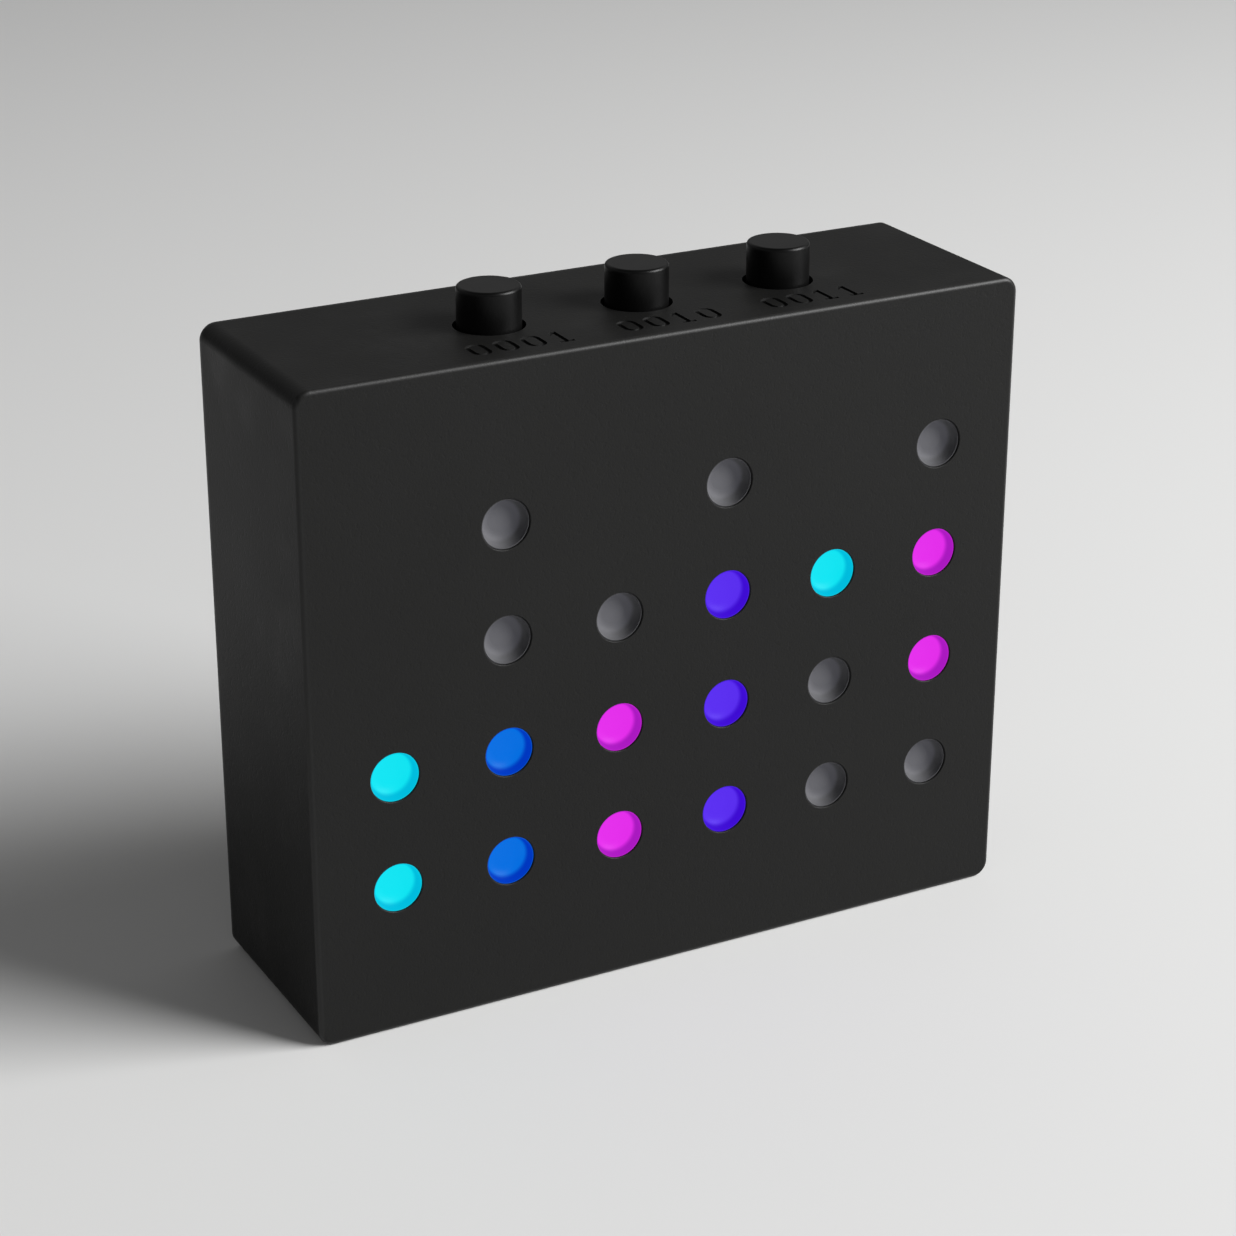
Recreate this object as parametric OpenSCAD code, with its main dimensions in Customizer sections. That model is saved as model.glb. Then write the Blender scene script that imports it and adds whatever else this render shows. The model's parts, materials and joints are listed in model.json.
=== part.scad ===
// Binary clock: a box-shaped case with a field of round light windows, three push buttons on top,
// a screwed rear cover and the boards, light cups and switches inside.
// Millimetres. X runs right, Y runs back, Z runs up. The origin is the middle of the underside.

/* [Case] */
// Width of the case
case_w = 129; // [118:1:142]
// Height of the case
case_h = 111; // [100:1:118]
// Depth of the case, front to back
case_d = 38.5; // [37:0.5:60]
// Radius of the four long corners
corner_r = 2.8; // [2.7:0.1:5]
// Radius round the front edge
front_edge_r = 0.8; // [0.2:0.1:1.2]
// Thickness of the side walls
wall_t = 2.4; // [2.2:0.1:2.7]
// Thickness of the front wall, which sets how deep the windows are
front_t = 2.5; // [1.8:0.1:3.2]

/* [Windows] */
// Windows in each column, left to right, counted up from the lowest row
column_dots = [2, 4, 3, 4, 3, 4]; // [1:1:4]
// Distance of the outer columns from the sides of the case
side_margin = 14.5; // [13:0.1:18]
// Distance of the top row from the top of the case
top_margin = 26.9; // [26.5:0.1:30]
// Height of the lowest row above the underside
low_row_z = 25.6; // [23:0.1:26]
// Diameter of a window
window_d = 8.4; // [6:0.1:10.5]
// Radius round the front rim of a window
window_edge_r = 0.2; // [0.1:0.05:0.5]

/* [Lenses] */
// Distance of a lens's rim behind the front face
lens_set = 0.3; // [0.1:0.05:0.8]
// Width of the rim round a lens's hollow
lens_rim = 0.15; // [0.1:0.05:0.6]
// Radius between the floor and the wall of a lens's hollow
lens_cove_r = 2; // [0.5:0.1:2.2]
// Thickness of the floor of a lens
lens_floor_t = 0.7; // [0.5:0.05:1]
// Width of the flange behind the front wall
lens_flange = 1; // [0.6:0.1:1.2]
// Thickness of the flange
lens_flange_t = 0.8; // [0.6:0.1:1]

/* [Light cups] */
// Thickness of the diffuser sheet
diffuser_t = 1; // [0.5:0.1:1.5]
// Depth of the light cups
cup_depth = 8; // [7:0.5:9]
// Inside diameter of a cup at the diffuser
cup_front_d = 12; // [11.4:0.1:12.6]
// Inside diameter of a cup at the lamp
cup_back_d = 8.4; // [8:0.1:9]
// Wall of the cups, their plate and their ribs
cup_wall = 1.2; // [0.8:0.1:1.4]
// Depth of the ribs between the cups
cup_rib_depth = 5; // [3:0.5:5.5]
// Rim of the cup plate beyond the outermost cups
cup_margin = 1.2; // [1:0.1:1.4]

/* [Lamp board] */
// Thickness of the circuit boards
board_t = 1.6; // [1.2:0.1:1.8]
// Side of a square lamp
lamp_side = 5; // [3.5:0.1:5.2]
// Height of a lamp
lamp_h = 1.6; // [1:0.1:2]
// Radius of the posts that carry the lamp board
post_r = 2.6; // [2.2:0.1:3]
// Depth of the screw hole in a post
post_hole_l = 7; // [6.5:0.1:7.5]
// Radius of the lamp board screws
board_screw_r = 1.1; // [0.9:0.05:1.25]
// Length of the lamp board screws under the head
board_screw_l = 7; // [5:0.5:8]

/* [Buttons] */
// Distance between buttons
button_pitch = 26.3; // [22:0.1:28]
// Sideways shift of the row of buttons from the middle of the case
button_shift = 2; // [-3:0.1:3]
// Distance of the buttons behind the front face
button_depth = 16.9; // [16:0.1:18]
// Diameter of a button
cap_d = 10.4; // [9.6:0.1:11]
// Height of a button above the case
cap_rise = 6.6; // [5:0.1:9]
// Gap round a button where it passes through the case
cap_gap = 0.65; // [0.4:0.05:1]
// Radius round the top edge of a button
cap_edge_r = 0.6; // [0.2:0.05:1]
// Thickness of the top of a button
cap_top_t = 2; // [1.5:0.1:2.5]
// Wall of a button's skirt
cap_wall = 1.2; // [0.9:0.1:1.3]
// Travel of a button
travel = 2; // [1:0.1:2]

/* [Switches] */
// Side of a switch
switch_side = 10; // [9:0.1:11]
// Height of a switch above its board
switch_h = 6; // [5.6:0.1:6.2]
// Thickness of a switch's lid
switch_lid_t = 1.2; // [0.8:0.1:1.4]
// Radius of the plunger
plunger_r = 1.5; // [1.2:0.05:1.6]
// Radius of the plunger's foot
foot_r = 3; // [2.6:0.05:3.3]
// Thickness of the plunger's foot
foot_t = 1.2; // [0.8:0.1:1.3]
// Wire diameter of the return spring
spring_wire_d = 0.6; // [0.4:0.05:0.65]
// Turns of the return spring
spring_turns = 7; // [4:1:8]
// Wire radius of a solder pin
pin_r = 0.4; // [0.3:0.05:0.45]
// Depth of the switch board, front to back
switch_board_l = 18; // [17:0.5:20]
// Switch board beyond the outer two buttons
switch_board_end = 15; // [12:0.5:16]

/* [Inlet] */
// Width of the inlet board
inlet_board_w = 26; // [24:0.5:30]
// Depth of the inlet board, front to back
inlet_board_l = 19; // [17.5:0.5:19]
// Height of the inlet board above the floor of the case
inlet_board_lift = 3.6; // [3:0.1:5]
// Depth of the socket's mouth behind the rear face
inlet_recess = 4.2; // [4.1:0.1:5]
// Width of the opening for the plug
inlet_w = 13.6; // [12.5:0.1:15]
// Height of the opening for the plug
inlet_h = 8; // [7:0.1:9]

/* [Rear cover] */
// Thickness of the rear cover
cover_t = 2; // [1.8:0.1:2.4]
// Gap round the rear cover
cover_gap = 0.2; // [0.1:0.05:0.3]
// Thickness of the lip round the rear cover
lip_t = 1.2; // [0.9:0.1:1.3]
// Radius of the cover screw bosses
boss_r = 3.6; // [3.3:0.1:4.5]
// Length of the cover screw bosses
boss_l = 14; // [10:0.5:16]
// Radius of the cover screws
cover_screw_r = 1.5; // [1.2:0.05:1.6]
// Length of the cover screws
cover_screw_l = 8; // [7:0.5:9]
// Radius of a cover screw's head
cover_head_r = 2.9; // [2.6:0.1:3]
// Outer radius of a threaded insert
insert_r = 2.2; // [2:0.05:2.3]
// Length of a threaded insert
insert_l = 5; // [4:0.5:6]

/* [Hidden] */

$fn = 64;

// clearances
fit_gap = 0.05;      // a shaft or screw in its own hole
slide_gap = 0.2;     // a board in its guide, a rib behind a board
free_gap = 0.3;      // sheets and cups round the posts
weld = 0.5;          // how far a post or boss runs into the wall that carries it
cut = 1;             // how far a cutter runs past the surface it opens

// depths behind the front face
front_y = -case_d / 2;
diffuser_at = front_t + lens_flange_t;
cups_at = diffuser_at + diffuser_t;
board_at = cups_at + cup_depth;
board_back = board_at + board_t;
ledge_at = case_d - cover_t;

// the field of windows
columns = len(column_dots);
rows = max(column_dots);
col_pitch = (case_w - 2 * side_margin) / (columns - 1);
row_pitch = (case_h - top_margin - low_row_z) / (rows - 1);
dots = [for (i = [0:columns - 1]) for (j = [0:column_dots[i] - 1]) [column_x(i), row_z(j)]];
cup_reach = cup_front_d / 2 + cup_wall + cup_margin;
field_w = (columns - 1) * col_pitch + 2 * cup_reach;
field_h = (rows - 1) * row_pitch + 2 * cup_reach;
field_z = (row_z(0) + row_z(rows - 1)) / 2;
field_low = field_z - field_h / 2;
field_top = field_z + field_h / 2;
field_r = 2;
posts = [for (i = [0.5, columns / 2 - 0.5, columns - 1.5]) for (j = [0.5, rows - 1.5])
    [column_x(i), row_z(j)]];

// the guides that the two small boards slide into from the back
rail_t = 2;
rail_lip = 1.2;
rail_bite = 1.5;
rail_stop = 1.6;

// the switch board and what stands on it, counted up from the lamp board's top edge
button_xs = [for (k = [-1:1]) button_shift + k * button_pitch];
switch_board_w = 2 * (button_pitch + switch_board_end);
switch_board_front = button_depth - switch_board_l / 2;
switch_board_z = field_top + slide_gap + rail_lip;
switch_z = switch_board_z + board_t;
switch_top = switch_z + switch_h;
switch_corner_r = 1;

// the button, its plunger and spring
cap_r = cap_d / 2;
cap_top = case_h + cap_rise;
skirt_gap = 1;
cap_low = switch_top + travel + skirt_gap;
cap_h = cap_top - cap_low;
cap_bore_r = cap_r - cap_wall;
cap_ceiling = cap_top - cap_top_t;
cap_socket_wall = 0.75;
cap_socket_r = plunger_r + fit_gap + cap_socket_wall;
cap_socket_l = 4.5;
foot_top = switch_top - switch_lid_t - fit_gap;
foot_low = foot_top - foot_t;
foot_room = 0.5;
cavity_r = foot_r + foot_room;
pin_top = foot_low - travel - fit_gap;
contact_rise = 0.4;
switch_floor = pin_top - contact_rise - switch_z;
pin_spread = 1.8;
pin_tail = 1.5;
spring_r = (cap_socket_r + cap_bore_r) / 2;
spring_low = switch_top + spring_wire_d / 2;
spring_rise = cap_ceiling - switch_top - spring_wire_d;
spring_gap = spring_rise / spring_turns - spring_wire_d;

// the inlet
inlet_board_z = wall_t + inlet_board_lift;
inlet_z = inlet_board_z + board_t;
shell_w = 8.94;
shell_h = 3.26;
shell_l = 7.3;
shell_t = 0.3;
shell_flat = 0.6;
shell_r = (shell_h - shell_flat) / 2;
shell_overhang = 0.4;
tongue_w = 6.7;
tongue_t = 0.7;
tongue_l = 5.4;
mouth_at = case_d - inlet_recess;
inlet_board_back = mouth_at - shell_overhang;
inlet_board_front = inlet_board_back - inlet_board_l;
inlet_mid_z = inlet_z + shell_h / 2;
inlet_r = 2;
part_inset = 2;
part_gap = 0.6;

// the rear cover and its screws
cover_w = case_w - 2 * (lip_t + cover_gap);
cover_h = case_h - 2 * (lip_t + cover_gap);
cover_r = corner_r - lip_t - cover_gap;
boss_inset = wall_t + boss_r - weld;
boss_spots = [for (sx = [-1, 1]) for (sz = [-1, 1])
    [sx * (case_w / 2 - boss_inset), case_h / 2 + sz * (case_h / 2 - boss_inset)]];
insert_sink = 0.3;
cover_head_h = cover_head_r - cover_screw_r;
cover_head_sink = 0.1;
cover_rib_t = 2;
cover_rib_h = 5;
cover_rib_margin = 2.5;
inlet_rib_x = inlet_w / 2 + cover_rib_margin;

// parts on the lamp board's back
chip_x = column_x(columns - 2) - col_pitch / 2;
chip_z = field_z;
chip_side = 7;
chip_h = 1.1;
clock_w = 5;
clock_l = 4;
clock_h = 1.5;
clock_drop = 17;
crystal_lift = 13;
lead_count = 8;
lead_pitch = 0.8;
lead_w = 0.4;
lead_t = 0.2;
lead_foot = 0.7;
clock_lead_count = 4;
clock_lead_pitch = 1.17;
cell_x = column_x(1) + col_pitch / 2;
cell_z = field_z;
cell_r = 10;
cell_t = 3.2;
holder_wall = 1.3;
holder_floor = 1;
cell_gap = 0.15;
holder_r = cell_r + cell_gap + holder_wall;
clip_w = 6;
clip_t = 0.35;

// plug-in links between the boards
link_inset = 6;
socket_h = 3;
socket_l = 5;
ribbon_t = 0.9;
ribbon_run = 1;
ribbon_bend_r = 3.5;
ribbon_at = board_back + socket_h + ribbon_run + ribbon_bend_r;
switch_link_x = button_shift + button_pitch / 2;
switch_link_w = 8;
switch_link_z = field_top - link_inset;
power_link_w = 5;
power_link_x = shell_w / 2 + part_gap + power_link_w / 2;
power_link_z = field_low + link_inset;
ribbon_margin = 0.8;

echo(str("least gap between spring turns, released: ", spring_gap, " mm"));
echo(str("least gap between spring turns, pressed: ", spring_gap - travel / spring_turns, " mm"));

function column_x(i) = (i - (columns - 1) / 2) * col_pitch;
function row_z(j) = low_row_z + j * row_pitch;

// ---------- shared forms ----------

// an upright slab drawn as the front view shows it, starting at a depth behind the front face
module slab(depth, t) {
    translate([0, front_y + depth + t, 0])
        rotate([90, 0, 0])
            linear_extrude(t)
                children();
}

// a level slab drawn as the top view shows it, with Y counted back from the front face
module shelf(z, t) {
    translate([0, front_y, z])
        linear_extrude(t)
            children();
}

module rounded_rect(w, h, r) {
    square([w - 2 * r, h], center = true);
    square([w, h - 2 * r], center = true);
    for (sx = [-1, 1])
        for (sy = [-1, 1])
            translate([sx * (w / 2 - r), sy * (h / 2 - r)])
                circle(r);
}

module at_spots(spots) {
    for (p = spots)
        translate(p)
            children();
}

// the outline shared by the diffuser, the light cups and the lamp board
module field_outline() {
    translate([0, field_z])
        rounded_rect(field_w, field_h, field_r);
}

// a blank with its small top edge rounded, turned about Z
module button_section() {
    square([cap_r - cap_edge_r, cap_h]);
    square([cap_r, cap_h - cap_edge_r]);
    translate([cap_r - cap_edge_r, cap_h - cap_edge_r])
        circle(cap_edge_r);
}

// ---------- housing ----------

// section of a side wall: across is inward from the outer face, up is back from the front face
module wall_section() {
    difference() {
        union() {
            translate([front_edge_r, 0])
                square([wall_t - front_edge_r, case_d]);
            translate([0, front_edge_r])
                square([wall_t, case_d - front_edge_r]);
            translate([front_edge_r, front_edge_r])
                circle(front_edge_r);
        }
        translate([lip_t, ledge_at])
            square([wall_t, cover_t + cut]);
    }
}

// one straight wall at the left of a case that is 2 * reach wide, centred on the Y axis
module straight_wall(reach, length) {
    translate([-reach, front_y, -length / 2])
        linear_extrude(length)
            wall_section();
}

module corner_wall() {
    translate([case_w / 2 - corner_r, front_y, corner_r - case_h / 2])
        rotate([-90, 0, 0])
            rotate_extrude(angle = 90)
                translate([corner_r, 0])
                    mirror([1, 0])
                        wall_section();
}

module side_walls() {
    translate([0, 0, case_h / 2]) {
        for (turn = [0, 180])
            rotate([0, turn, 0])
                straight_wall(case_w / 2, case_h - 2 * corner_r);
        for (turn = [90, 270])
            rotate([0, turn, 0])
                straight_wall(case_h / 2, case_w - 2 * corner_r);
        for (mx = [0, 1])
            for (mz = [0, 1])
                mirror([mx, 0, 0])
                    mirror([0, 0, mz])
                        corner_wall();
    }
}

module front_wall() {
    slab(0, front_t)
        translate([0, case_h / 2])
            rounded_rect(case_w - wall_t, case_h - wall_t, corner_r - wall_t / 2);
}

// cuts one window with its rounded front rim
module window_cutter() {
    flare = window_d / 2 + window_edge_r;
    rotate([-90, 0, 0])
        rotate_extrude() {
            translate([0, -cut])
                square([window_d / 2, front_t + 2 * cut]);
            difference() {
                translate([0, -cut])
                    square([flare, cut + window_edge_r]);
                translate([flare, window_edge_r])
                    circle(window_edge_r);
            }
        }
}

module screw_boss(p) {
    inward_x = -sign(p[0]);
    inward_z = -sign(p[1] - case_h / 2);
    slab(ledge_at - boss_l, boss_l) {
        translate(p)
            circle(boss_r);
        translate([p[0] - inward_x * boss_r / 2, p[1]])
            square([boss_r, 2 * boss_r], center = true);
        translate([p[0], p[1] - inward_z * boss_r / 2])
            square([2 * boss_r, boss_r], center = true);
    }
}

// a grooved guide for one edge of a small board: x is the board's edge, side points outward
module guide(x, side, depth, length, board_z, low, high) {
    inner = rail_bite + cut;
    difference() {
        translate([x - side * rail_bite, front_y + depth - rail_stop, low])
            mirror([side < 0 ? 1 : 0, 0, 0])
                cube([rail_bite + rail_t, length + rail_stop, high - low]);
        translate([x - side * inner, front_y + depth, board_z])
            mirror([side < 0 ? 1 : 0, 0, 0])
                cube([inner + slide_gap, length + cut, board_t + slide_gap]);
    }
}

module housing() {
    color([0.17, 0.17, 0.17])
        difference() {
            union() {
                side_walls();
                front_wall();
                slab(front_t - weld, board_at - front_t + weld)
                    at_spots(posts)
                        circle(post_r);
                for (p = boss_spots)
                    screw_boss(p);
                for (side = [-1, 1]) {
                    guide(button_shift + side * switch_board_w / 2, side, switch_board_front,
                        switch_board_l, switch_board_z, switch_board_z - rail_lip,
                        case_h - wall_t + weld);
                    guide(side * inlet_board_w / 2, side, inlet_board_front, inlet_board_l,
                        inlet_board_z, wall_t - weld, inlet_z + slide_gap + rail_lip);
                }
            }
            for (p = dots)
                translate([p[0], front_y, p[1]])
                    window_cutter();
            slab(board_at - post_hole_l, post_hole_l + cut)
                at_spots(posts)
                    circle(board_screw_r + fit_gap);
            slab(ledge_at - insert_sink - insert_l, insert_l + insert_sink + cut)
                at_spots(boss_spots)
                    circle(insert_r + fit_gap);
            slab(ledge_at - cover_screw_l, cover_screw_l)
                at_spots(boss_spots)
                    circle(cover_screw_r + slide_gap);
            shelf(case_h - wall_t - cut, wall_t + 2 * cut)
                for (x = button_xs)
                    translate([x, button_depth])
                        circle(cap_r + cap_gap);
        }
}

// ---------- rear cover ----------

module inlet_outline() {
    translate([0, inlet_mid_z])
        rounded_rect(inlet_w, inlet_h, inlet_r);
}

// a screw hole through the cover with a seat for the screw's head, cut from the rear face inward
module countersink() {
    hole_r = cover_screw_r + slide_gap;
    seat_r = cover_head_r + slide_gap;
    translate([0, 0, -cut])
        cylinder(r = hole_r, h = cover_t + 2 * cut);
    translate([0, 0, -cut])
        cylinder(r = seat_r, h = cut);
    cylinder(r1 = seat_r, r2 = hole_r, h = cover_head_h);
}

module rear_cover() {
    color([0.15, 0.15, 0.15])
        difference() {
            union() {
                slab(ledge_at, cover_t)
                    translate([0, case_h / 2])
                        rounded_rect(cover_w, cover_h, cover_r);
                // fins that hold the switch board forward
                switch_board_back = switch_board_front + switch_board_l + slide_gap;
                slab(switch_board_back, ledge_at + weld - switch_board_back)
                    for (side = [-1, 1])
                        translate([button_shift + side * button_pitch, switch_board_z + board_t / 2])
                            square([cover_rib_t, cover_rib_h], center = true);
                // stubs that hold the inlet board forward
                slab(inlet_board_back + slide_gap, ledge_at + weld - inlet_board_back - slide_gap)
                    for (side = [-1, 1])
                        translate([side * inlet_rib_x, inlet_board_z + board_t / 2])
                            square([cover_rib_t, cover_rib_h], center = true);
            }
            slab(ledge_at - cut, cover_t + 2 * cut)
                inlet_outline();
            for (p = boss_spots)
                translate([p[0], front_y + case_d, p[1]])
                    rotate([90, 0, 0])
                        countersink();
        }
}

module cover_screws() {
    key_r = 1.15;
    key_depth = 1.1;
    color([0.25, 0.25, 0.26])
        for (p = boss_spots)
            translate([p[0], front_y + case_d - cover_head_sink, p[1]])
                rotate([90, 0, 0])
                    difference() {
                        union() {
                            cylinder(r1 = cover_head_r, r2 = cover_screw_r, h = cover_head_h);
                            cylinder(r = cover_screw_r, h = cover_screw_l);
                        }
                        translate([0, 0, -cut])
                            cylinder(r = key_r, h = key_depth + cut, $fn = 6);
                    }
}

module threaded_inserts() {
    color([0.78, 0.62, 0.3])
        slab(ledge_at - insert_sink - insert_l, insert_l)
            at_spots(boss_spots)
                difference() {
                    circle(insert_r);
                    circle(cover_screw_r + fit_gap);
                }
}

// ---------- light field ----------

// half the section of a lens's hollow: a flat floor that curves up into a straight wall
module hollow_section() {
    mouth_r = window_d / 2 - fit_gap - lens_rim;
    floor_at = front_t + lens_flange_t - lens_floor_t;
    translate([0, -cut])
        square([mouth_r, floor_at - lens_cove_r + cut]);
    translate([0, -cut])
        square([mouth_r - lens_cove_r, floor_at + cut]);
    translate([mouth_r - lens_cove_r, floor_at - lens_cove_r])
        circle(lens_cove_r);
}

// a hollow lens with a flange at its back, turned about its axis from the front face inward
module lens() {
    rotate([-90, 0, 0])
        rotate_extrude()
            difference() {
                union() {
                    translate([0, lens_set])
                        square([window_d / 2 - fit_gap, front_t + lens_flange_t - lens_set]);
                    translate([0, front_t])
                        square([window_d / 2 + lens_flange, lens_flange_t]);
                }
                hollow_section();
            }
}

module lens_column(i) {
    color([0.3, 0.3, 0.32])
        for (j = [0:column_dots[i] - 1])
            translate([column_x(i), front_y, row_z(j)])
                lens();
}

module diffuser_sheet() {
    color([0.93, 0.93, 0.9])
        slab(diffuser_at, diffuser_t)
            difference() {
                field_outline();
                at_spots(posts)
                    circle(post_r + free_gap);
            }
}

// a cone along the cup's axis, from the diffuser back to the lamp board
module cup_cone(front_r, back_r, extra = 0) {
    slope = (back_r - front_r) / cup_depth;
    translate([0, front_y + cups_at - extra, 0])
        rotate([-90, 0, 0])
            cylinder(r1 = front_r - slope * extra, r2 = back_r + slope * extra,
                h = cup_depth + 2 * extra);
}

module light_cups() {
    color([0.95, 0.95, 0.95])
        difference() {
            union() {
                slab(cups_at, cup_wall)
                    field_outline();
                slab(cups_at, cup_depth)
                    difference() {
                        field_outline();
                        translate([0, field_z])
                            rounded_rect(field_w - 2 * cup_wall, field_h - 2 * cup_wall,
                                field_r - cup_wall);
                    }
                slab(cups_at, cup_rib_depth)
                    translate([0, field_z]) {
                        for (i = [0:columns - 1])
                            translate([column_x(i), 0])
                                square([cup_wall, field_h - cup_wall], center = true);
                        for (j = [0:rows - 1])
                            translate([0, row_z(j) - field_z])
                                square([field_w - cup_wall, cup_wall], center = true);
                    }
                for (p = dots)
                    translate([p[0], 0, p[1]])
                        cup_cone(cup_front_d / 2 + cup_wall, cup_back_d / 2 + cup_wall);
            }
            for (p = dots)
                translate([p[0], 0, p[1]])
                    cup_cone(cup_front_d / 2, cup_back_d / 2, cut);
            slab(cups_at - cut, cup_wall + 2 * cut)
                at_spots(posts)
                    circle(post_r + free_gap);
        }
}

module lamp_board() {
    color([0.05, 0.22, 0.12])
        slab(board_at, board_t)
            difference() {
                field_outline();
                at_spots(posts)
                    circle(board_screw_r + slide_gap);
            }
}

module lamps() {
    lens_r = lamp_side * 0.38;
    lens_depth = 0.5;
    color([0.96, 0.96, 0.93])
        difference() {
            slab(board_at - lamp_h, lamp_h)
                at_spots(dots)
                    square(lamp_side, center = true);
            slab(board_at - lamp_h - cut, lens_depth + cut)
                at_spots(dots)
                    circle(lens_r);
        }
}

module lamp_capacitors() {
    body_l = 2;
    body_w = 1.25;
    body_h = 0.8;
    cup_gap = 1;
    offset_xz = cup_back_d / 2 + cup_gap;
    color([0.72, 0.6, 0.45])
        slab(board_at - body_h, body_h)
            at_spots(dots)
                translate([offset_xz, offset_xz])
                    square([body_l, body_w], center = true);
}

module board_screws() {
    head_r = 2.2;
    head_h = 1.6;
    key_r = 1;
    key_depth = 0.9;
    color([0.7, 0.7, 0.72])
        for (p = posts)
            translate([p[0], front_y + board_back, p[1]])
                rotate([90, 0, 0])
                    difference() {
                        union() {
                            translate([0, 0, -head_h])
                                cylinder(r = head_r, h = head_h);
                            translate([0, 0, -fit_gap])
                                cylinder(r = board_screw_r, h = board_screw_l + fit_gap);
                        }
                        translate([0, 0, -head_h - cut])
                            cylinder(r = key_r, h = key_depth + cut, $fn = 6);
                    }
}

// ---------- lamp board electronics ----------

module chip_body(x, z, w, l, h) {
    slab(board_back + lead_t / 2, h)
        translate([x, z])
            square([w, l], center = true);
}

module controller_chip() {
    color([0.08, 0.08, 0.08])
        chip_body(chip_x, chip_z, chip_side, chip_side, chip_h);
}

module clock_chip() {
    color([0.08, 0.08, 0.08])
        chip_body(chip_x, chip_z - clock_drop, clock_w, clock_l, clock_h);
}

// a row of bent leads along the top side of a chip at the origin, whose edge is reach away
module lead_row(count, pitch, reach, h) {
    for (k = [0:count - 1])
        translate([(k - (count - 1) / 2) * pitch - lead_w / 2, front_y + board_back, reach])
            rotate([90, 0, 90])
                linear_extrude(lead_w) {
                    square([h / 2 + lead_t, lead_t]);
                    square([lead_t, lead_foot + lead_t]);
                }
}

module chip_leads() {
    color([0.75, 0.75, 0.73]) {
        translate([chip_x, 0, chip_z])
            for (turn = [0:90:270])
                rotate([0, turn, 0])
                    lead_row(lead_count, lead_pitch, chip_side / 2, chip_h);
        translate([chip_x, 0, chip_z - clock_drop])
            for (turn = [0, 180])
                rotate([0, turn, 0])
                    lead_row(clock_lead_count, clock_lead_pitch, clock_l / 2, clock_h);
    }
}

module crystal() {
    can_l = 11;
    can_w = 4.6;
    can_h = 3.4;
    flange = 0.5;
    end_r = can_w / 2 - 0.1;
    color([0.75, 0.76, 0.78])
        translate([chip_x, 0, chip_z + crystal_lift]) {
            slab(board_back, flange)
                rounded_rect(can_l, can_w, end_r);
            slab(board_back, can_h)
                rounded_rect(can_l - 2 * flange, can_w - 2 * flange, end_r - flange);
        }
}

module cell_holder() {
    mouth_w = 15;
    color([0.1, 0.1, 0.1])
        difference() {
            slab(board_back, holder_floor + cell_t - slide_gap)
                translate([cell_x, cell_z])
                    circle(holder_r);
            slab(board_back + holder_floor, cell_t + cut)
                translate([cell_x, cell_z]) {
                    circle(holder_r - holder_wall);
                    translate([0, holder_r / 2 + cut])
                        square([mouth_w, holder_r + 2 * cut], center = true);
                }
        }
}

module coin_cell() {
    step = 0.5;
    color([0.8, 0.8, 0.8]) {
        slab(board_back + holder_floor, step)
            translate([cell_x, cell_z])
                circle(cell_r - step);
        slab(board_back + holder_floor + step, cell_t - step)
            translate([cell_x, cell_z])
                circle(cell_r);
    }
}

module cell_clip() {
    reach = holder_r + slide_gap;
    top = holder_floor + cell_t;
    color([0.82, 0.8, 0.74])
        translate([cell_x, front_y + board_back, cell_z - clip_w / 2])
            linear_extrude(clip_w)
                difference() {
                    translate([-reach - clip_t, 0])
                        square([2 * (reach + clip_t), top + clip_t]);
                    translate([-reach, -cut])
                        square([2 * reach, top + cut]);
                }
}

// ---------- switches ----------

module switch_board() {
    color([0.05, 0.22, 0.12])
        shelf(switch_board_z, board_t)
            difference() {
                translate([button_shift, button_depth])
                    square([switch_board_w, switch_board_l], center = true);
                for (x = button_xs)
                    translate([x, button_depth])
                        pin_spots()
                            circle(pin_r + fit_gap);
            }
}

module pin_spots() {
    for (sx = [-1, 1])
        for (sy = [-1, 1])
            translate([sx * pin_spread, sy * pin_spread])
                children();
}

module switch_pins() {
    low = switch_board_z - pin_tail;
    color([0.78, 0.78, 0.76])
        shelf(low, pin_top - low)
            for (x = button_xs)
                translate([x, button_depth])
                    pin_spots()
                        circle(pin_r);
}

module at_button(k) {
    translate([button_xs[k], front_y + button_depth, 0])
        children();
}

module switch_base(k) {
    height = switch_h - switch_lid_t;
    color([0.12, 0.12, 0.12])
        at_button(k)
            translate([0, 0, switch_z])
                difference() {
                    linear_extrude(height)
                        rounded_rect(switch_side, switch_side, switch_corner_r);
                    translate([0, 0, switch_floor])
                        cylinder(r = cavity_r, h = height);
                    translate([0, 0, -cut])
                        linear_extrude(switch_floor + 2 * cut)
                            pin_spots()
                                circle(pin_r + fit_gap);
                }
}

module switch_lid(k) {
    color([0.3, 0.3, 0.3])
        at_button(k)
            translate([0, 0, switch_top - switch_lid_t])
                linear_extrude(switch_lid_t)
                    difference() {
                        rounded_rect(switch_side, switch_side, switch_corner_r);
                        circle(plunger_r + 2 * fit_gap);
                    }
}

module plunger(k) {
    color([0.85, 0.85, 0.82])
        at_button(k) {
            translate([0, 0, foot_low])
                cylinder(r = foot_r, h = foot_t);
            translate([0, 0, foot_low])
                cylinder(r = plunger_r, h = cap_ceiling - foot_low);
        }
}

module push_button(k) {
    room = cap_h - cap_top_t;
    color([0.13, 0.13, 0.13])
        at_button(k)
            translate([0, 0, cap_low])
                rotate_extrude()
                    difference() {
                        button_section();
                        translate([cap_socket_r, -cut])
                            square([cap_bore_r - cap_socket_r, room + cut]);
                        translate([0, -cut])
                            square([plunger_r + fit_gap, room + cut]);
                        translate([0, -cut])
                            square([cap_bore_r, room - cap_socket_l + cut]);
                    }
}

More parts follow.
